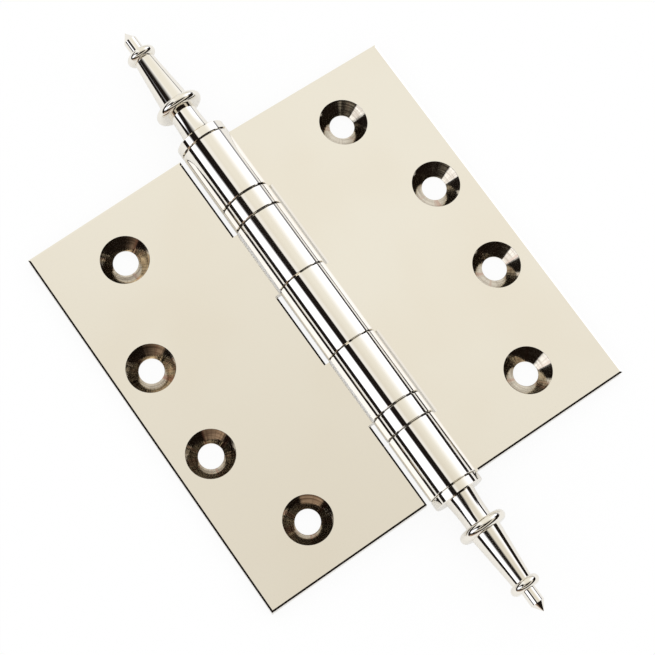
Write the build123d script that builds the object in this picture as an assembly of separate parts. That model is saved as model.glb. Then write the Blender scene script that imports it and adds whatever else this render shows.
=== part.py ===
from build123d import *
import math
import os

# Ball bearing butt hinge, five knuckles, with a steeple finial on each end of the pin.
# It lies open on its back. Z is up and Z = 0 is the bench, Y runs along the pin towards
# the top finial, and X runs across the leaves, with the three-knuckle leaf on the +X side.
# All sizes are in millimetres. The shape was measured from a photograph, and the scale is
# the 4 inch size of such hinges.

# Leaves
leaf_height = 101.6
leaf_width = 50.8
leaf_thickness = 3.1
face_set_back = 0.49
rolled_edge_width = 0.45
rolled_edge_depth = 0.13
root_fillet_radius = 0.8

# Barrel: knuckle and bearing lengths are from seam to seam
barrel_diameter = 12.92
middle_knuckle_length = 20.25
inner_knuckle_length = 17.8
bearing_length = 6.05
knuckle_seam = 0.12
notch_clearance = 0.96
knuckle_edge_break = 0.2

# Screw holes: a zigzag of four in each leaf, for a countersunk wood screw number 12
hole_diameter = 6.14
countersink_diameter = 11.9
countersink_angle = 90.0
outer_row_margin = 9.24
row_stagger = 9.66
end_hole_margin = 12.87
middle_hole_spacing = 24.86

# Pin: shoulders stand a little proud of the barrel, and a stud on each end takes a finial
pin_diameter = 6.4
pin_clearance = 0.03
pin_shoulder_proud = 0.1
stud_diameter = 4.0
stud_length = 6.0
stud_chamfer = 0.4
stud_hole_clearance = 0.03
stud_hole_spare_depth = 0.6

# Bearings: two grooved races, a ball cage and a shell as wide as the barrel. The balls are
# as large as the room between pin and shell allows, with a web of the cage on each side.
ball_count = 8
ball_clearance = 0.02
groove_depth = 0.25
groove_conformity = 1.06
race_pin_clearance = 0.15
shell_wall = 0.5
shell_seam = 0.24
shell_seat_clearance = 0.02
shell_running_clearance = 0.12
shell_edge_break = 0.2
cage_web = 0.3
cage_wall_clearance = 0.1
cage_face_clearance = 0.15
cage_pocket_clearance = 0.05

# Finials: a collar disc, a flared neck, a large bead, a tapered spire, a small bead and a
# pointed tip. Heights are lengths along the pin, each from the end of the one before.
collar_thickness = 2.45
collar_edge_break = 0.25
neck_length = 7.6
neck_foot_diameter = 7.7
neck_waist_diameter = 6.9
neck_waist_height = 4.5
neck_top_diameter = 6.8
large_bead_diameter = 12.2
large_bead_length = 2.7
spire_length = 13.7
spire_foot_diameter = 7.7
spire_top_diameter = 5.1
small_bead_diameter = 7.5
small_bead_length = 2.5
tip_length = 3.65
tip_diameter = 3.5
point_length = 2.4

# Modelling aids: how far a cutter runs past a face, and how near a match has to be
cut_overshoot = 1.0
match_tolerance = 0.001

# Radii, and places along the pin measured from the middle of the barrel
barrel_radius = barrel_diameter / 2
pin_radius = pin_diameter / 2
half_height = leaf_height / 2
middle_seam = middle_knuckle_length / 2
bearing_inner_seam = middle_seam + inner_knuckle_length
bearing_outer_seam = bearing_inner_seam + bearing_length
notch_from_axis = barrel_radius + notch_clearance
seam_half = knuckle_seam / 2
outer_row_from_axis = leaf_width - outer_row_margin
inner_row_from_axis = outer_row_from_axis - row_stagger
end_hole_along = half_height - end_hole_margin
middle_hole_along = middle_hole_spacing / 2

# An open leaf leans down from the barrel until its outer back edge meets the bench
back_from_axis = face_set_back + leaf_thickness
corner_reach = math.hypot(leaf_width, back_from_axis)
lean = math.degrees(math.asin(barrel_radius / corner_reach) - math.atan2(back_from_axis, leaf_width))

# Room inside a bearing, and the balls that fill it
race_inner = pin_radius + race_pin_clearance
shell_inner = barrel_radius - shell_wall
cage_inner = race_inner + cage_wall_clearance
cage_outer = shell_inner - shell_running_clearance - cage_wall_clearance
pocket_radius = (cage_outer - cage_inner) / 2 - cage_web
ball_radius = pocket_radius - cage_pocket_clearance
ball_circle_radius = (cage_inner + cage_outer) / 2
race_gap = 2 * (ball_radius - groove_depth)
race_thickness = (bearing_length - race_gap) / 2
cage_thickness = race_gap - 2 * cage_face_clearance


def on_bench(shape):
    """Lift a shape that was made round the pin axis to its place above the bench."""
    return Pos(0, 0, barrel_radius) * shape


def is_near(value, wanted):
    """Whether a measured length is the wanted one."""
    return abs(value - wanted) < match_tolerance


def outer_corners(section, radius):
    """The corners of a half section that lie at one radius."""
    return [corner for corner in section.vertices() if is_near(corner.X, radius)]


def leaf_section():
    """The section across the pin: a round barrel with the flat leaf leaving its side."""
    plate = Pos(leaf_width / 2, -face_set_back - leaf_thickness / 2) * Rectangle(leaf_width, leaf_thickness)
    section = Sketch() + Circle(barrel_radius) + plate
    root_x = math.sqrt(barrel_radius**2 - back_from_axis**2)
    root = section.vertices().sort_by_distance((root_x, -back_from_axis, 0))[0]
    return fillet(root, root_fillet_radius)


def screw_hole(from_axis, along):
    """One countersunk hole, cut from the front face right through the leaf."""
    slope = math.tan(math.radians(countersink_angle / 2))
    sink_depth = (countersink_diameter - hole_diameter) / 2 / slope
    sink = Pos(0, 0, cut_overshoot) * Cone(
        hole_diameter / 2,
        countersink_diameter / 2 + cut_overshoot * slope,
        sink_depth + cut_overshoot,
        align=(Align.CENTER, Align.CENTER, Align.MAX),
    )
    through = Cylinder(hole_diameter / 2, 2 * (leaf_thickness + cut_overshoot))
    return Pos(from_axis, along, -face_set_back) * (sink + through)


def notch(low, high):
    """A block that clears one leaf's barrel and plate for the pieces between two heights."""
    reach = barrel_radius + cut_overshoot
    cutter = Box(reach + notch_from_axis, high - low, 2 * reach, align=(Align.MIN, Align.MIN, Align.CENTER))
    return Pos(-reach, low, 0) * cutter


def rolled_edge(length):
    """A block that slopes down from the front face: it rolls over one edge that faces +X."""
    slope = math.degrees(math.atan2(rolled_edge_depth, rolled_edge_width))
    block = Box(2 * rolled_edge_width, length, rolled_edge_width, align=(Align.MIN, Align.CENTER, Align.MIN))
    return Rot(0, slope, 0) * block


def rolled_edges(notch_spans):
    """Buffing rolls the front face over at its outer edge, its two ends and its notches."""
    face = Pos(0, 0, -face_set_back)
    tools = [face * Pos(leaf_width - rolled_edge_width, 0, 0) * rolled_edge(leaf_height + 2 * cut_overshoot)]
    for end in (-1, 1):
        place = Pos(leaf_width, end * (half_height - rolled_edge_width), 0) * Rot(0, 0, end * 90)
        tools.append(face * place * rolled_edge(2 * (leaf_width - notch_from_axis)))
    for low, high in notch_spans:
        place = Pos(notch_from_axis + rolled_edge_width, (low + high) / 2, 0) * Rot(0, 0, 180)
        tools.append(face * place * rolled_edge(high - low))
    return tools


def make_leaf(notch_spans):
    """A leaf with its knuckles, made flat on the +X side of the pin and then leaned to the bench."""
    leaf = extrude(Plane.XZ * leaf_section(), half_height, both=True)
    for low, high in notch_spans:
        leaf -= notch(low, high)
    rims = [edge for edge in leaf.edges().filter_by(GeomType.CIRCLE) if is_near(edge.radius, barrel_radius)]
    leaf = chamfer(rims, knuckle_edge_break)
    for tool in rolled_edges(notch_spans):
        leaf -= tool
    leaf -= Rot(90, 0, 0) * Cylinder(pin_radius + pin_clearance, leaf_height + 2 * cut_overshoot)
    for end in (-1, 1):
        leaf -= screw_hole(inner_row_from_axis, end * end_hole_along)
        leaf -= screw_hole(outer_row_from_axis, end * middle_hole_along)
    return Rot(0, lean, 0) * leaf


def make_leaves():
    """Both leaves. Each is cut away where the other one has its knuckles and at the bearings."""
    past_end = half_height + cut_overshoot
    three = make_leaf([
        (middle_seam - seam_half, bearing_outer_seam),
        (-bearing_outer_seam, -middle_seam + seam_half),
    ])
    two = make_leaf([
        (-middle_seam - seam_half, middle_seam + seam_half),
        (bearing_inner_seam, past_end),
        (-past_end, -bearing_inner_seam),
    ])
    return {"leaf_three_knuckle": three, "leaf_two_knuckle": Rot(0, 0, 180) * two}


def make_pin():
    """The turned pin: one long journal with a threaded stud on each end."""
    journal_half = half_height + pin_shoulder_proud
    stud_end = journal_half + stud_length
    outline = Polyline(
        (0, 0),
        (pin_radius, 0),
        (pin_radius, journal_half),
        (stud_diameter / 2, journal_half),
        (stud_diameter / 2, stud_end - stud_chamfer),
        (stud_diameter / 2 - stud_chamfer, stud_end),
        (0, stud_end),
        close=True,
    )
    half = revolve(make_face(outline), Axis.Y)
    return half + mirror(half, Plane.XZ)


def bead_section(root_diameter, bead_diameter, length, height):
    """Half of a bead that stands on a stem: flat sides and a fully rounded rim."""
    root = root_diameter / 2
    rim_radius = length / 2
    rim_from_axis = bead_diameter / 2 - rim_radius
    rim = ThreePointArc(
        (rim_from_axis, height - rim_radius),
        (bead_diameter / 2, height),
        (rim_from_axis, height + rim_radius),
    )
    sides = Polyline(rim @ 1, (root, height + rim_radius), (root, height - rim_radius), rim @ 0)
    return make_face([rim, sides])


def finial_section():
    """Half of the finial's outline, radius along X and height along Y from its seat."""
    neck_end = collar_thickness + neck_length
    large_bead_at = neck_end + large_bead_length / 2
    spire_start = neck_end + large_bead_length
    spire_end = spire_start + spire_length
    small_bead_at = spire_end + small_bead_length / 2
    tip_start = spire_end + small_bead_length
    tip_end = tip_start + tip_length

    collar = Polyline(
        (0, 0),
        (barrel_radius, 0),
        (barrel_radius, collar_thickness),
        (0, collar_thickness),
        close=True,
    )
    collar_face = make_face(collar)
    collar_face = chamfer(outer_corners(collar_face, barrel_radius), collar_edge_break)

    neck_side = ThreePointArc(
        (neck_foot_diameter / 2, collar_thickness),
        (neck_waist_diameter / 2, collar_thickness + neck_waist_height),
        (neck_top_diameter / 2, neck_end),
    )
    spire_and_tip = Polyline(
        (neck_top_diameter / 2, neck_end),
        (neck_top_diameter / 2, large_bead_at),
        (spire_foot_diameter / 2, large_bead_at),
        (spire_foot_diameter / 2, spire_start),
        (spire_top_diameter / 2, spire_end),
        (spire_top_diameter / 2, small_bead_at),
        (tip_diameter / 2, small_bead_at),
        (tip_diameter / 2, tip_end),
        (0, tip_end + point_length),
        (0, collar_thickness),
        (neck_foot_diameter / 2, collar_thickness),
    )
    stem_face = make_face([neck_side, spire_and_tip])

    large_bead = bead_section(neck_top_diameter, large_bead_diameter, large_bead_length, large_bead_at)
    small_bead = bead_section(tip_diameter, small_bead_diameter, small_bead_length, small_bead_at)
    return collar_face + stem_face + large_bead + small_bead


def make_finial():
    """One turned finial, seated at Y = 0 and pointing along +Y, with its blind tapped hole."""
    turned = revolve(finial_section(), Axis.Y)
    depth = stud_length + stud_hole_spare_depth
    hole = Rot(90, 0, 0) * Cylinder(stud_diameter / 2 + stud_hole_clearance, 2 * depth)
    return turned - hole


def make_finials():
    """A finial on each shoulder of the pin."""
    seat = half_height + pin_shoulder_proud
    top = Pos(0, seat, 0) * make_finial()
    return {"finial_top": top, "finial_bottom": mirror(top, Plane.XZ)}


def ring(inner_radius, outer_radius, height):
    """Half section of a plain ring, centred on Y = 0."""
    width = outer_radius - inner_radius
    return Pos(inner_radius + width / 2, 0) * Rectangle(width, height)


def make_bearing(name):
    """One bearing, centred on Y = 0, with its lower race towards -Y."""
    shell_section = ring(shell_inner, barrel_radius, bearing_length - 2 * shell_seam)
    shell_section = chamfer(outer_corners(shell_section, barrel_radius), shell_edge_break)
    race_middle = (bearing_length - race_thickness) / 2
    groove_radius = ball_radius * groove_conformity
    groove_centre = groove_radius - ball_radius - ball_clearance
    upper_outer = shell_inner - shell_running_clearance
    upper_section = Pos(0, race_middle) * ring(race_inner, upper_outer, race_thickness)
    upper_section -= Pos(ball_circle_radius, -groove_centre) * Circle(groove_radius)
    lower_outer = shell_inner - shell_seat_clearance
    lower_section = Pos(0, -race_middle) * ring(race_inner, lower_outer, race_thickness)
    lower_section -= Pos(ball_circle_radius, groove_centre) * Circle(groove_radius)

    cage = revolve(ring(cage_inner, cage_outer, cage_thickness), Axis.Y)
    balls = {}
    for number in range(ball_count):
        place = Rot(0, 360 / ball_count * number, 0) * Pos(ball_circle_radius, 0, 0)
        cage -= place * Rot(90, 0, 0) * Cylinder(pocket_radius, 2 * cage_thickness)
        balls[f"{name}_ball_{number + 1}"] = place * Sphere(ball_radius)
    return {
        f"{name}_shell": revolve(shell_section, Axis.Y),
        f"{name}_upper_race": revolve(upper_section, Axis.Y),
        f"{name}_lower_race": revolve(lower_section, Axis.Y),
        f"{name}_cage": cage,
        **balls,
    }


def make_bearings():
    """The two bearings, in the gaps between knuckles 1 and 2 and between knuckles 4 and 5."""
    middle = (bearing_inner_seam + bearing_outer_seam) / 2
    placed = {}
    for name, along in (("bearing_top", middle), ("bearing_bottom", -middle)):
        for node, shape in make_bearing(name).items():
            placed[node] = Pos(0, along, 0) * shape
    return placed


pieces = make_leaves()
pieces["hinge_pin"] = make_pin()
pieces.update(make_finials())
pieces.update(make_bearings())

os.makedirs("parts", exist_ok=True)
for node, shape in pieces.items():
    export_step(on_bench(shape), f"parts/{node}.step")
print(len(pieces), "pieces, open leaves lean", round(lean, 3), "degrees")
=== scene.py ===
# %% [markdown]
# # Dressing a ball bearing butt hinge
# The hinge lies open on its back on a white table. Its solids already have their true shape, so
# this lesson gives each metal its finish and then builds the table, the studio that polished
# nickel needs round it, and the camera. A mirror-like metal is mostly made of what it reflects,
# which is why the studio gets as much care here as the metal.

# %% Load the frame
import math

import bpy
from mathutils import Matrix, Vector


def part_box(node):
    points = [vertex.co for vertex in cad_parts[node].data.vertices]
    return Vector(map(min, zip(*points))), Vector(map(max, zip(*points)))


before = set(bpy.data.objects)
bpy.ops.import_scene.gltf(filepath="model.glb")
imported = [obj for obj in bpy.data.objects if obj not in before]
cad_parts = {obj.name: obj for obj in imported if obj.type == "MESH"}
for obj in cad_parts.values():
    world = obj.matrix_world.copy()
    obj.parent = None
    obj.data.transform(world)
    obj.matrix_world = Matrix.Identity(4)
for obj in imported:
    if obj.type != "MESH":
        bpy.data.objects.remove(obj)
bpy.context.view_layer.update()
millimetre = 0.001

# %% [markdown]
# ## Where things are
# A finish has to know where it is: a countersink is machined, the face round it is buffed. The
# pin lies along Y at the height of the barrel's radius, which a bearing shell has too. Each leaf
# leans down from the pin to the table, so its lean is read from the front face of its own mesh
# instead of being typed in, and a pattern on the leaf can then lean with it.

# %% Measure the frame
nearly_level = 0.99
shell_low, shell_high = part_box("bearing_top_shell")
barrel_radius = (shell_high.x - shell_low.x) / 2
pin_height = (shell_high.z + shell_low.z) / 2
leaf_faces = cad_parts["leaf_three_knuckle"].data.polygons
level_faces = [face for face in leaf_faces if face.normal.z > nearly_level]
front_face = max(level_faces, key=lambda face: face.area)
leaf_lean = math.atan2(front_face.normal.x, front_face.normal.z)
front_height = front_face.normal.dot(front_face.center - Vector((0, 0, pin_height)))
print("barrel radius", round(barrel_radius / millimetre, 2), "mm, leaves lean",
      round(math.degrees(leaf_lean), 2), "degrees, front face at",
      round(front_height / millimetre, 2), "mm")

# %% [markdown]
# ## Node helpers
# A material or a sky is a small graph. These helpers add a node and link what goes into it, so
# that a finish below reads as a short recipe.

# %% Node helpers
def add_node(tree, kind, inputs=None, **settings):
    """A node of one kind, with its settings, and its inputs set or linked by name or number."""
    node = tree.nodes.new("ShaderNode" + kind)
    for name, value in settings.items():
        setattr(node, name, value)
    for name, value in (inputs or {}).items():
        if isinstance(value, bpy.types.NodeSocket):
            tree.links.new(value, node.inputs[name])
        else:
            node.inputs[name].default_value = value
    return node


def maths(tree, operation, first, second=0.0):
    """The result of one sum on two numbers or sockets."""
    return add_node(tree, "Math", {0: first, 1: second}, operation=operation).outputs[0]


def times(tree, *shares):
    """The product of several shares."""
    product = shares[0]
    for share in shares[1:]:
        product = maths(tree, "MULTIPLY", product, share)
    return product


def vector_of(tree, x, y, z):
    """One vector from three numbers or sockets."""
    return add_node(tree, "CombineXYZ", {"X": x, "Y": y, "Z": z}).outputs[0]


def ramp_between(tree, value, start, end, low=0.0, high=1.0):
    """A value that runs smoothly from low to high while another runs from start to end."""
    inputs = {"Value": value, "From Min": start, "From Max": end, "To Min": low, "To Max": high}
    node = add_node(tree, "MapRange", inputs, interpolation_type="SMOOTHSTEP")
    return node.outputs["Result"]


def blend_colours(tree, share, first, second):
    """The first colour where share is 0, and the second where it is 1."""
    node = add_node(tree, "Mix", data_type="RGBA")
    for number, value in ((0, share), (6, first), (7, second)):
        if isinstance(value, bpy.types.NodeSocket):
            tree.links.new(value, node.inputs[number])
        else:
            node.inputs[number].default_value = value
    return node.outputs[2]


def cloud(tree, coordinates, size, detail=2.0):
    """A soft noise whose patches are about as large as size, from 0 to 1."""
    inputs = {"Vector": coordinates, "Scale": 1 / size, "Detail": detail}
    return add_node(tree, "TexNoise", inputs).outputs["Fac"]


# %% [markdown]
# ## A metal to start from
# Every finish below is a metal with a colour, a roughness and very fine relief. The relief comes
# as heights in metres, so the bump's distance stays at one metre and each height says by itself
# how deep its marks are.

# %% Metal helpers
def new_metal(name):
    """An empty metal, with its node tree and its shader."""
    material = bpy.data.materials.new(name)
    material.use_nodes = True
    tree = material.node_tree
    shader = next(node for node in tree.nodes if node.type == "BSDF_PRINCIPLED")
    shader.inputs["Metallic"].default_value = 1.0
    return material, tree, shader


def finish_with(tree, shader, colour, roughness, height):
    """Link a colour, a roughness and a relief in metres to a shader."""
    tree.links.new(colour, shader.inputs["Base Color"])
    tree.links.new(roughness, shader.inputs["Roughness"])
    bump = add_node(tree, "Bump", {"Strength": 1.0, "Distance": 1.0, "Height": height})
    tree.links.new(bump.outputs[0], shader.inputs["Normal"])


# %% [markdown]
# ## Buffed nickel
# Nickel plate over polished brass is a mirror with a warm, slightly yellow tint. A real plate
# isn't a perfect mirror: buffing leaves a faint haze in soft patches and hairlines that run the
# way the wheel ran. Noises at different scales give these, all read from object coordinates, so
# that they stay on the metal when the hinge moves. A picture of scratches would do as well, but
# noise needs no file and never repeats.

# %% Buffed nickel
nickel_colour = (0.86, 0.825, 0.755, 1)
nickel_warm_colour = (0.845, 0.8, 0.72, 1)
tint_size = 30 * millimetre
tint_edges = (0.4, 0.75)
clear_roughness = 0.03
hazy_roughness = 0.075
haze_size = 18 * millimetre
haze_edges = (0.35, 0.7)
hairline_depth = 0.0002 * millimetre


def buffed_colour(tree, place):
    """Nickel whose tint drifts a little between cool and warm."""
    warm = ramp_between(tree, cloud(tree, place, tint_size), *tint_edges)
    return blend_colours(tree, warm, nickel_colour, nickel_warm_colour)


def buffed_roughness(tree, place):
    """Clear plate with soft patches of haze."""
    haze = cloud(tree, place, haze_size, detail=4.0)
    return ramp_between(tree, haze, *haze_edges, clear_roughness, hazy_roughness)


def hairlines(tree, place, across, along):
    """Fine lines: a noise that is short across the lines and long along them."""
    scale = (1 / across, 1 / along, 1 / across)
    drawn = add_node(tree, "Mapping", {"Vector": place, "Scale": scale})
    return times(tree, cloud(tree, drawn.outputs[0], 1.0, detail=3.0), hairline_depth)


# %% [markdown]
# ## Painted shade on ends and bores
# Where knuckles and bearings meet, the plate was never buffed, so it is rough there, and its
# colour is painted nearly black as painted shade. That is what draws the thin dark seams across
# the barrel. Everything on a leaf that lies nearer to the pin axis than the barrel's outer skin
# is such a hidden face, so one distance from the axis is enough to find them.

# %% Painted shade on ends and bores
# Painted shade: a nearly black colour for the hidden ends and bores, and for the countersinks'
# rims.
painted_shade_colour = (0.055, 0.045, 0.038, 1)
hidden_face_roughness = 0.42
skin_depth = 0.24 * millimetre
skin_blur = 0.02 * millimetre


def distance_from_axis(tree, place):
    """How far a point lies from the pin's axis: the scale takes away its place along the pin."""
    inputs = {"Vector": place, "Location": (0, 0, -pin_height), "Scale": (1, 0, 1)}
    across = add_node(tree, "Mapping", inputs).outputs[0]
    return add_node(tree, "VectorMath", {0: across}, operation="LENGTH").outputs["Value"]


def hidden_share(tree, place):
    """1 on end faces and bores, which lie inside the barrel's skin, and 0 on what is buffed."""
    skin = barrel_radius - skin_depth
    return ramp_between(tree, distance_from_axis(tree, place), skin - skin_blur, skin, 1.0, 0.0)


# %% [markdown]
# ## Knuckle roots
# Where a knuckle grows out of its leaf, the buffing wheel can't reach into the corner, and the
# plate stays frosted and rougher there. Its colour is a painted highlight, nearly white and mostly
# non-metallic, which shows as a soft white line instead of a mirror's bands. The corner is found
# by two distances: close to the barrel, and a little higher than the leaf's front face.

# %% Knuckle roots
# Painted highlight: a near-white, mostly non-metallic colour in each knuckle's root corner.
root_painted_highlight = (0.97, 0.96, 0.93, 1)
root_roughness = 0.35
root_highlight_metal = 0.15
root_reach = 0.9 * millimetre
root_start = 0.08 * millimetre
root_height = 2.4 * millimetre
root_solid_part = 0.7


def root_share(tree, place, height, side):
    """1 in the corner between a knuckle and its own leaf, for a height over the leaf's face."""
    risen = ramp_between(tree, height, 0.0, root_start)
    low = ramp_between(tree, height, root_height, root_height * root_solid_part)
    near = maths(tree, "LESS_THAN", distance_from_axis(tree, place), barrel_radius + root_reach)
    x = add_node(tree, "SeparateXYZ", {"Vector": place}).outputs["X"]
    own_side = maths(tree, "GREATER_THAN", times(tree, x, side), 0.0)
    return times(tree, risen, low, near, own_side)


# %% [markdown]
# ## Where a countersink is
# A countersink is cut after the leaf is buffed. To find the cones, the leaf is turned flat about
# the pin axis in a Mapping node, both leaves and both halves are folded onto one corner by taking
# absolute values, and the nearer of two holes is chosen. The way round a hole is kept as a point
# on a circle instead of an angle, because an angle has a jump, and a step along Z for each hole
# keeps any two from getting the same marks.

# %% Find the countersinks
inner_hole_place = (31.9 * millimetre, 37.93 * millimetre)
outer_hole_place = (41.56 * millimetre, 12.43 * millimetre)
between_holes = (inner_hole_place[1] + outer_hole_place[1]) / 2
countersink_radius = 5.95 * millimetre
cone_margin = 0.1 * millimetre
sunk_limit = 0.012 * millimetre
row_step = 3.0
hole_step = 7.3


def flat_place(tree, place, side):
    """A point of one leaf as it would lie with the leaf turned level, from the pin axis."""
    centred = add_node(tree, "Mapping", {"Vector": place, "Location": (0, 0, -pin_height)})
    inputs = {"Vector": centred.outputs[0], "Rotation": (0, -side * leaf_lean, 0)}
    turned = add_node(tree, "Mapping", inputs)
    return add_node(tree, "SeparateXYZ", {"Vector": turned.outputs[0]}).outputs


def around_hole(tree, place, side):
    """The height over the front face, the distance from the nearer hole, and a turn about it."""
    x, y, z = flat_place(tree, place, side)
    along = maths(tree, "ABSOLUTE", y)
    inner = maths(tree, "GREATER_THAN", along, between_holes)
    centres = []
    for axis in (0, 1):
        step = times(tree, inner, inner_hole_place[axis] - outer_hole_place[axis])
        centres.append(maths(tree, "ADD", step, outer_hole_place[axis]))
    from_centre_x = maths(tree, "SUBTRACT", maths(tree, "ABSOLUTE", x), centres[0])
    from_centre_y = maths(tree, "SUBTRACT", along, centres[1])
    flat = vector_of(tree, from_centre_x, from_centre_y, 0.0)
    radius = add_node(tree, "VectorMath", {0: flat}, operation="LENGTH").outputs["Value"]
    turn = add_node(tree, "VectorMath", {0: flat}, operation="NORMALIZE").outputs["Vector"]
    which = maths(tree, "ADD", maths(tree, "SIGN", y), times(tree, inner, row_step))
    apart = vector_of(tree, 0.0, 0.0, times(tree, which, hole_step))
    turn = add_node(tree, "VectorMath", {0: turn, 1: apart}, operation="ADD").outputs["Vector"]
    return maths(tree, "SUBTRACT", z, front_height), radius, turn


def countersink_share(tree, height, radius):
    """1 on a countersink's cone and 0 elsewhere. At 45 degrees its radius and depth add up."""
    sunk = maths(tree, "LESS_THAN", height, -sunk_limit)
    radius_and_depth = maths(tree, "SUBTRACT", radius, height)
    on_cone = maths(tree, "LESS_THAN", radius_and_depth, countersink_radius + cone_margin)
    return times(tree, sunk, on_cone)


# %% [markdown]
# ## Machined countersinks
# The cone keeps the rings of the cutter and a brown, uneven skin, because nothing buffs it. The
# rings are a noise that changes quickly along the radius, and the streaks are a noise round the
# hole alone. Both go into the colour and, a few thousandths of a millimetre deep, into the relief.

# %% Machined countersinks
machined_roughness = 0.08
ring_pitch = 0.32 * millimetre
ring_stretch = 0.6
ring_edges = (0.3, 0.6)
ring_depth = 0.006 * millimetre
fine_streak = 0.07
fine_edges = (0.5, 0.66)
fine_share = 0.6
streak_depth = 0.015 * millimetre
red_patch = 0.35
red_edges = (0.55, 0.7)
# Painted dark reflection: a dark ring round each countersink's rim.
painted_rim_width = 0.16 * millimetre
painted_rim_share = 0.7


def cutter_rings(tree, radius, turn):
    """Rings of a cutter: a noise that changes quickly along the radius, slowly round the hole."""
    stretch = {0: turn, 1: (ring_stretch, ring_stretch, 1.0)}
    scaled = add_node(tree, "VectorMath", stretch, operation="MULTIPLY").outputs["Vector"]
    step = vector_of(tree, 0.0, 0.0, maths(tree, "DIVIDE", radius, ring_pitch))
    place = add_node(tree, "VectorMath", {0: scaled, 1: step}, operation="ADD").outputs["Vector"]
    return cloud(tree, place, 1.0)


def cutter_streaks(tree, turn, size):
    """Streaks that fan out from the hole: a noise on the turn alone."""
    return cloud(tree, turn, size, detail=3.0)


def cutter_relief(tree, rings, turn):
    """The relief that rings and streaks leave, in metres."""
    streaks = times(tree, cutter_streaks(tree, turn, fine_streak), streak_depth)
    return maths(tree, "ADD", times(tree, rings, ring_depth), streaks)


def machined_colour(tree, radius, turn, rings, dark, light, red):
    """Brown skin: darker rings and streaks, red patches, a painted dark reflection at the rim."""
    skin = blend_colours(tree, ramp_between(tree, rings, *ring_edges), dark, light)
    streaks = cutter_streaks(tree, turn, fine_streak)
    dark_streaks = ramp_between(tree, streaks, *fine_edges, 0.0, fine_share)
    skin = blend_colours(tree, dark_streaks, skin, dark)
    patches = cutter_streaks(tree, turn, red_patch)
    skin = blend_colours(tree, ramp_between(tree, patches, *red_edges), skin, red)
    # A painted dark reflection round the rim, nearly black at the edge.
    rim_start = countersink_radius - painted_rim_width
    rim = ramp_between(tree, radius, rim_start, countersink_radius, 0.0, painted_rim_share)
    return blend_colours(tree, rim, skin, painted_shade_colour)


# %% [markdown]
# ## Dress the leaves
# Each leaf gets one material with four finishes in it: buffed faces, machined countersinks,
# frosted roots with a painted highlight, and ends and bores in painted shade. One material with
# masks is chosen over four materials, because the leaf is one piece of metal with one slot, and
# the borders between finishes then stay crisp at any size of triangle. The left leaf's
# countersinks are browner and darker than the right one's: a darker copy of the same skin, which
# is painted shade.

# %% Dress the leaves
leaf_hairline = (1.1 * millimetre, 16 * millimetre)
right_cuts = ((0.46, 0.39, 0.3, 1), (0.75, 0.68, 0.55, 1), (0.58, 0.42, 0.32, 1))
# Painted shade: the left leaf's countersinks get darker copies of the same skin colours.
left_shaded_cuts = ((0.34, 0.28, 0.21, 1), (0.72, 0.64, 0.51, 1), (0.48, 0.29, 0.22, 1))


def dress_leaf(node_name, side, cuts):
    """One leaf's nickel. Side is 1 for the leaf on +X and -1 for the leaf on -X."""
    material, tree, shader = new_metal(node_name + "_nickel")
    place = add_node(tree, "TexCoord").outputs["Object"]
    height, radius, turn = around_hole(tree, place, side)
    sunk = countersink_share(tree, height, radius)
    root = root_share(tree, place, height, side)
    hidden = hidden_share(tree, place)
    rings = cutter_rings(tree, radius, turn)
    colour = buffed_colour(tree, place)
    colour = blend_colours(tree, sunk, colour, machined_colour(tree, radius, turn, rings, *cuts))
    # Painted highlight in each knuckle's root corner.
    colour = blend_colours(tree, root, colour, root_painted_highlight)
    # Painted shade: the hidden ends and bores turn nearly black.
    colour = blend_colours(tree, hidden, colour, painted_shade_colour)
    roughness = buffed_roughness(tree, place)
    rough_parts = ((sunk, machined_roughness), (root, root_roughness), (hidden, hidden_face_roughness))
    for share, rough in rough_parts:
        gain = times(tree, share, maths(tree, "SUBTRACT", rough, roughness))
        roughness = maths(tree, "ADD", roughness, gain)
    # The root corner is made mostly non-metallic, as part of its painted highlight.
    tree.links.new(ramp_between(tree, root, 0.0, 1.0, 1.0, root_highlight_metal), shader.inputs["Metallic"])
    cut_relief = times(tree, cutter_relief(tree, rings, turn), sunk)
    relief = maths(tree, "ADD", hairlines(tree, place, *leaf_hairline), cut_relief)
    finish_with(tree, shader, colour, roughness, relief)
    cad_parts[node_name].data.materials[0] = material
    print("dressed", node_name)


dress_leaf("leaf_three_knuckle", 1, right_cuts)
dress_leaf("leaf_two_knuckle", -1, left_shaded_cuts)

# %% [markdown]
# ## Turned nickel
# Finials and bearing shells are turned on a lathe before they are plated and buffed, so their
# hairlines run round the axis. The same recipe serves both, with the lines short along Y and
# long round it.

# %% Dress the finials and shells
turned_hairline = (9 * millimetre, 0.25 * millimetre)
turned_nodes = ("finial_top", "finial_bottom", "bearing_top_shell", "bearing_bottom_shell")

material, tree, shader = new_metal("turned_nickel")
place = add_node(tree, "TexCoord").outputs["Object"]
lines = hairlines(tree, place, *turned_hairline)
finish_with(tree, shader, buffed_colour(tree, place), buffed_roughness(tree, place), lines)
for node_name in turned_nodes:
    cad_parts[node_name].data.materials[0] = material
print("dressed the finials and shells")

# %% [markdown]
# ## Inside the barrel
# A part is also seen when it is taken apart, so the pin, races, cages and balls get real
# finishes: ground steel with fine lines round it, hardened steel darkened by oil, turned brass,
# and balls that are lapped almost to a mirror.

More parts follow.
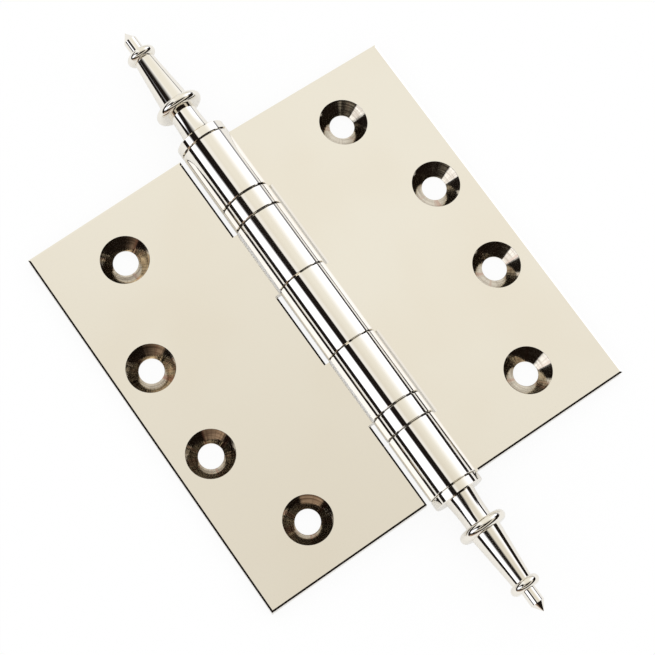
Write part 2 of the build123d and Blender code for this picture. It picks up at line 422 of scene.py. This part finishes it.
# %% Dress the inner pieces
patch_size = 2.5 * millimetre
dull_edges = (0.35, 0.65)
rough_edges = (0.3, 0.7)
inner_hairline = (6 * millimetre, 0.12 * millimetre)
inner_finishes = {
    "ground_steel": ((0.6, 0.59, 0.57, 1), (0.5, 0.49, 0.47, 1), 0.2, 0.34),
    "oiled_steel": ((0.2, 0.19, 0.18, 1), (0.1, 0.09, 0.08, 1), 0.3, 0.45),
    "lapped_steel": ((0.75, 0.75, 0.76, 1), (0.68, 0.68, 0.69, 1), 0.04, 0.09),
    "turned_brass": ((0.79, 0.58, 0.26, 1), (0.66, 0.45, 0.19, 1), 0.18, 0.3),
}


def dress_inner(finish_name, node_names):
    """A turned steel or brass, with patches of two tones, for some of the inner nodes."""
    bright, dull, smooth, rough = inner_finishes[finish_name]
    material, tree, shader = new_metal(finish_name)
    place = add_node(tree, "TexCoord").outputs["Object"]
    patches = cloud(tree, place, patch_size, detail=4.0)
    colour = blend_colours(tree, ramp_between(tree, patches, *dull_edges), bright, dull)
    roughness = ramp_between(tree, patches, *rough_edges, smooth, rough)
    finish_with(tree, shader, colour, roughness, hairlines(tree, place, *inner_hairline))
    for node_name in node_names:
        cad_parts[node_name].data.materials[0] = material
    print(finish_name, "on", len(node_names), "pieces")


bearing_nodes = [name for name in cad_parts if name.startswith("bearing")]
dress_inner("ground_steel", ["hinge_pin"])
dress_inner("oiled_steel", [name for name in bearing_nodes if name.endswith("race")])
dress_inner("turned_brass", [name for name in bearing_nodes if name.endswith("cage")])
dress_inner("lapped_steel", [name for name in bearing_nodes if "_ball_" in name])

# %% [markdown]
# ## Table
# The photograph has a pure white ground. The table is diffuse white, which carries the shadow, and
# glows white for most of its strength to the camera. To a mirror it glows half as much, so that
# the dark gap under the barrel still draws its thin line along the barrel's edge. Making the table
# bright with lamps would wash the metal out instead.

# %% Table
table_size = 6.0
table_drop = 0.05 * millimetre
table_roughness = 0.9
white = (1, 1, 1, 1)
shadow_share = 0.1
mirror_glow = 0.45


def glow_share(tree):
    """How much of the table glows: most of it to the camera and through glass, less to mirrors."""
    rays = add_node(tree, "LightPath").outputs
    direct = maths(tree, "ADD", rays["Is Camera Ray"], rays["Is Transmission Ray"])
    direct = times(tree, maths(tree, "MINIMUM", direct, 1.0), 1 - shadow_share)
    return maths(tree, "MAXIMUM", direct, times(tree, rays["Is Glossy Ray"], mirror_glow))


bpy.ops.object.select_all(action="DESELECT")
bpy.ops.mesh.primitive_plane_add(size=table_size, location=(0, 0, -table_drop))
table = bpy.context.object
table.name = "table"
table_material, tree, shader = new_metal("white_table")
shader.inputs["Metallic"].default_value = 0.0
shader.inputs["Base Color"].default_value = white
shader.inputs["Roughness"].default_value = table_roughness
shader.inputs["Specular IOR Level"].default_value = 0.0
glow = add_node(tree, "Emission", {"Color": white, "Strength": 1.0})
mix = add_node(tree, "MixShader", {0: glow_share(tree), 1: shader.outputs[0], 2: glow.outputs[0]})
output = next(node for node in tree.nodes if node.type == "OUTPUT_MATERIAL")
tree.links.new(mix.outputs[0], output.inputs["Surface"])
table.data.materials.append(table_material)
print("table", table_size, "m wide")

# %% [markdown]
# ## Studio
# A polished surface has no look of its own: it shows the room. The room is painted on the sky by
# direction, as a photographer would stand it round the table. Two angles in degrees name a
# direction: side, from 0 overhead to 90 at the right, and length, which is positive towards the
# top finial. A pair of edges says where a piece of the room fades in: it is absent at the first
# angle and full at the second. Real cards and lamps would do the same, but they would also light
# the table and show in other views.

# %% Studio colours
degree = math.radians(1)
beige_low_card = (0.84, 0.8, 0.71, 1)
beige_high_card = (0.98, 0.957, 0.88, 1)
white_card = (1.4, 1.45, 1.6, 1)
small_card = (1.9, 1.8, 1.62, 1)
black_flag = (0.012, 0.009, 0.008, 1)
dark_room = (0.012, 0.008, 0.006, 1)
lit_room = (0.74, 0.7, 0.62, 1)
brown_wall = (0.46, 0.34, 0.26, 1)

# %% [markdown]
# ## Overhead card
# The leaves show one large beige card that hangs overhead. It is lighter towards the top finial
# and near the camera stand, and turns white at the right, where it comes down to the table.

# %% Overhead card
card_lean = 0.45
card_light_edges = (4, 24)
card_stand_edges = (2, -12)
card_stand_share = 0.3
card_right_edges = (23, 64)
card_foot_edges = (31, 22)


def card_colours(tree, side, length):
    """The overhead card: beige, lighter upwards and near the stand, white at the right."""
    upwards = maths(tree, "ADD", length, times(tree, side, card_lean))
    lighter = ramp_between(tree, upwards, *card_light_edges)
    card = blend_colours(tree, lighter, beige_low_card, beige_high_card)
    near_stand = ramp_between(tree, side, *card_stand_edges, 0, card_stand_share)
    card = blend_colours(tree, near_stand, card, white_card)
    right_white = times(tree, ramp_between(tree, side, *card_right_edges),
                        ramp_between(tree, length, *card_foot_edges))
    return blend_colours(tree, right_white, card, white_card)


# %% [markdown]
# ## Camera stand
# To the left of the card the room is dark, and the first dark strip is the camera on its leaning
# stand. On the barrel it becomes the broad black band. The stand leans more the lower it is, and
# its edge is sharp in the middle and soft at both ends.

# %% Camera stand
stand_pivot, stand_slope = 12, 0.35
low_pivot, low_slope = 5, 0.65
largest_shift = 20
foot_edges, foot_shift = (-9, -15), 9
far_edges, far_shift = (-28, -33), 25
high_edges, low_edges = (20, 30), (3, -5)
dark_side, dark_side_high = -19, 11
card_side, card_side_high, card_side_low = -15.5, 18, 12
reach_edges, low_reach_edges = (37, 31), (80, 70)


def leaning(tree, length, pivot, slope):
    """How far something that leans with length has shifted to the right, below a pivot."""
    return times(tree, maths(tree, "SUBTRACT", pivot, length), slope)


def stand_shift(tree, length):
    """The shift of the camera stand's right edge, which leans more the lower it is."""
    upper = leaning(tree, length, stand_pivot, stand_slope)
    lower = maths(tree, "MAXIMUM", leaning(tree, length, low_pivot, low_slope - stand_slope), 0)
    shift = maths(tree, "MINIMUM", maths(tree, "ADD", upper, lower), largest_shift)
    shift = maths(tree, "ADD", shift, ramp_between(tree, length, *foot_edges, 0, foot_shift))
    return maths(tree, "SUBTRACT", shift, ramp_between(tree, length, *far_edges, 0, far_shift))


def paint_dark_half(tree, sky, side, length, very_low):
    """Everything to the left of the stand's right edge, up to where the room is lit again."""
    high, low = ramp_between(tree, length, *high_edges), ramp_between(tree, length, *low_edges)
    past_stand = maths(tree, "SUBTRACT", side, stand_shift(tree, length))
    dark_edge = maths(tree, "SUBTRACT", dark_side, times(tree, high, dark_side_high))
    wider_high, wider_low = times(tree, high, card_side_high), times(tree, low, card_side_low)
    card_edge = maths(tree, "ADD", maths(tree, "ADD", wider_high, wider_low), card_side)
    low_reach = times(tree, very_low, ramp_between(tree, length, *low_reach_edges))
    reach = maths(tree, "MAXIMUM", ramp_between(tree, length, *reach_edges), low_reach)
    dark = times(tree, ramp_between(tree, past_stand, card_edge, dark_edge), reach)
    return blend_colours(tree, dark, sky, black_flag)


# %% [markdown]
# ## Softbox
# One white softbox stands in the dark half and draws the white band beside the black one. It
# leans as the stand does, gets narrower towards the top finial, and its right edge is sharp in
# the middle and soft at both ends.

# %% Softbox
box_pivot, box_slope = 12, 0.65
box_left_edges = (-75, -73)
box_right_start, box_right_end = -38, -43
box_top_edges, box_foot_edges = (32, 25), (-11.5, -8.5)
blur_edges, blur_high, blur_low = (10, 20), 6, 12
taper_edges, taper_right, taper_left = (15, 31), 9, 7


def paint_softbox(tree, sky, side, length):
    """The white softbox in the dark half."""
    low = ramp_between(tree, length, *low_edges)
    taper = ramp_between(tree, length, *taper_edges)
    past_box = maths(tree, "SUBTRACT", side, leaning(tree, length, box_pivot, box_slope))
    past_box = maths(tree, "ADD", past_box, times(tree, taper, taper_right))
    blur = times(tree, ramp_between(tree, length, *blur_edges), blur_high)
    blur = maths(tree, "ADD", blur, times(tree, low, blur_low))
    right_end = maths(tree, "SUBTRACT", box_right_end, blur)
    narrowed = times(tree, maths(tree, "ADD", taper, low), taper_left)
    from_left = maths(tree, "SUBTRACT", side, narrowed)
    across = times(tree, ramp_between(tree, from_left, *box_left_edges),
                   ramp_between(tree, past_box, box_right_start, right_end))
    along = times(tree, ramp_between(tree, length, *box_top_edges),
                  ramp_between(tree, length, *box_foot_edges))
    return blend_colours(tree, times(tree, across, along), sky, white_card)


# %% [markdown]
# ## Gap and small card
# At the right a dark gap stays between the white card and the table. It draws the double dark
# line along the barrel's right edge. A small card at the stand's foot is hardly seen by anything
# but the left leaf's countersinks, whose lower walls it lights.

# %% Gap and small card
gap_sides, gap_blur = (70, 86), 2
gap_slant_edges, gap_slant = (4, 12), 11
gap_fade_edges, gap_fade = (12, 17), 0.75
low_gap_side_edges, low_gap_edges = (54, 60), (2.5, -1)
small_card_pivot, small_card_slope = -12, 2.2
small_card_right_edges, small_card_left_edges = (-6, -12), (-32, -26)
small_card_top_edges, small_card_foot_edges = (-8.2, -11), (-16.5, -14.5)


def inside(tree, value, low, high, edge):
    """1 where a value lies between two limits and 0 elsewhere, with soft edges."""
    rising = ramp_between(tree, value, low - edge / 2, low + edge / 2)
    falling = ramp_between(tree, value, high - edge / 2, high + edge / 2, 1.0, 0.0)
    return times(tree, rising, falling)


def paint_right_gap(tree, sky, side, length):
    """The dark gap between the white card and the table, which slants and is widest low down."""
    slant = ramp_between(tree, length, *gap_slant_edges, 0, gap_slant)
    slanted = maths(tree, "SUBTRACT", side, slant)
    gap = times(tree, inside(tree, slanted, *gap_sides, gap_blur),
                ramp_between(tree, length, *gap_fade_edges, 1, gap_fade))
    low_gap = times(tree, ramp_between(tree, side, *low_gap_side_edges),
                    ramp_between(tree, length, *low_gap_edges))
    return blend_colours(tree, maths(tree, "MAXIMUM", gap, low_gap), sky, dark_room)


def paint_small_card(tree, sky, side, length):
    """A small slanted card at the stand's foot."""
    over_pivot = maths(tree, "SUBTRACT", length, small_card_pivot)
    slanted = maths(tree, "ADD", side, times(tree, over_pivot, small_card_slope))
    across = times(tree, ramp_between(tree, slanted, *small_card_right_edges),
                   ramp_between(tree, side, *small_card_left_edges))
    along = times(tree, ramp_between(tree, length, *small_card_top_edges),
                  ramp_between(tree, length, *small_card_foot_edges))
    return blend_colours(tree, times(tree, across, along), sky, small_card)


# %% [markdown]
# ## Far room
# Past the hinge's foot end the room is dark, and the beads of the finials show it as black
# crescents. A band at middle height is lit, so that the leaves still read as nickel from most of
# the sides that the photograph doesn't show. A brown wall stands low down at the left. Its depth
# and left edges are not angles but the y and x of the direction.

# %% Far room
room_edges = (-9.5, -16)
band_top_edges = (48, 42)
band_foot_side_edges, band_foot_heights = (-30, -40), (26, 30)
band_foot_blur = 2.5
wall_height_edges = (16, 6)
wall_depth_edges, wall_left_edges = (-0.1, -0.3), (-0.12, -0.3)


def paint_far_room(tree, sky, side, length, height):
    """The dark room past the foot end, with its lit band."""
    band_foot = ramp_between(tree, side, *band_foot_side_edges, *band_foot_heights)
    over_foot = maths(tree, "SUBTRACT", height, band_foot)
    low_down = ramp_between(tree, over_foot, band_foot_blur, -band_foot_blur)
    under_top = ramp_between(tree, height, *band_top_edges)
    lit = times(tree, under_top, maths(tree, "SUBTRACT", 1, low_down))
    room = blend_colours(tree, lit, dark_room, lit_room)
    return blend_colours(tree, ramp_between(tree, length, *room_edges), sky, room)


def paint_wall(tree, sky, x, y, height):
    """The brown wall, low down at the left of the foot end."""
    wall = times(tree, ramp_between(tree, height, *wall_height_edges),
                 ramp_between(tree, y, *wall_depth_edges), ramp_between(tree, x, *wall_left_edges))
    return blend_colours(tree, wall, sky, brown_wall)


# %% [markdown]
# ## Hang the studio on the sky
# The pieces are painted over one another, from the card to the wall. Only mirror rays see them,
# and plain white light falls on everything else, so that colours come out as they are written.

# %% Sky
very_low_edges = (25, 20)


def paint_sky(tree):
    """The studio as a mirror sees it, by direction."""
    direction = add_node(tree, "TexCoord").outputs["Generated"]
    x, y, z = add_node(tree, "SeparateXYZ", {"Vector": direction}).outputs
    side = maths(tree, "DIVIDE", maths(tree, "ARCTAN2", x, z), degree)
    length = maths(tree, "DIVIDE", maths(tree, "ARCSINE", y), degree)
    height = maths(tree, "DIVIDE", maths(tree, "ARCSINE", z), degree)
    very_low = ramp_between(tree, height, *very_low_edges)
    sky = card_colours(tree, side, length)
    sky = paint_dark_half(tree, sky, side, length, very_low)
    sky = paint_softbox(tree, sky, side, length)
    sky = paint_right_gap(tree, sky, side, length)
    sky = paint_far_room(tree, sky, side, length, height)
    sky = paint_small_card(tree, sky, side, length)
    return paint_wall(tree, sky, x, y, height)


world = bpy.data.worlds.new("studio")
bpy.context.scene.world = world
world.use_nodes = True
tree = world.node_tree
tree.nodes.clear()
plain = add_node(tree, "Background", {"Color": white, "Strength": 1.0})
studio = add_node(tree, "Background", {"Color": paint_sky(tree), "Strength": 1.0})
glossy = add_node(tree, "LightPath").outputs["Is Glossy Ray"]
sky_mix = add_node(tree, "MixShader", {0: glossy, 1: plain.outputs[0], 2: studio.outputs[0]})
world_output = add_node(tree, "OutputWorld")
tree.links.new(sky_mix.outputs[0], world_output.inputs["Surface"])
print("studio of", len(tree.nodes), "nodes")

# %% [markdown]
# ## Camera
# The camera was matched to the photograph: it looks down on the hinge from its foot end and a
# little from the left, turned so that the pin runs from upper left to lower right.

# %% Camera
camera_place = Vector((-106.62, -99.86, 463.68)) * millimetre
camera_target = Vector((-2.06, -3.20, 6.46)) * millimetre
camera_roll = math.radians(-35.9)
lens_length = 111.92
sensor_width = 36.0
nearest, farthest = 0.01, 20.0

camera_data = bpy.data.cameras.new("photo_camera")
camera = bpy.data.objects.new("photo_camera", camera_data)
bpy.context.scene.collection.objects.link(camera)
bpy.context.scene.camera = camera
camera_data.lens = lens_length
camera_data.sensor_width = sensor_width
camera_data.clip_start, camera_data.clip_end = nearest, farthest
forward = (camera_target - camera_place).normalized()
along_pin = (Vector((0, 1, 0)) - forward * forward.y).normalized()
sideways = forward.cross(along_pin)
up = along_pin * math.cos(camera_roll) - sideways * math.sin(camera_roll)
right = forward.cross(up)
camera.matrix_world = Matrix((right, up, -forward)).transposed().to_4x4()
camera.location = camera_place
bpy.context.scene.view_settings.view_transform = "Standard"
print("camera", round((camera_place - camera_target).length / millimetre), "mm from the hinge")
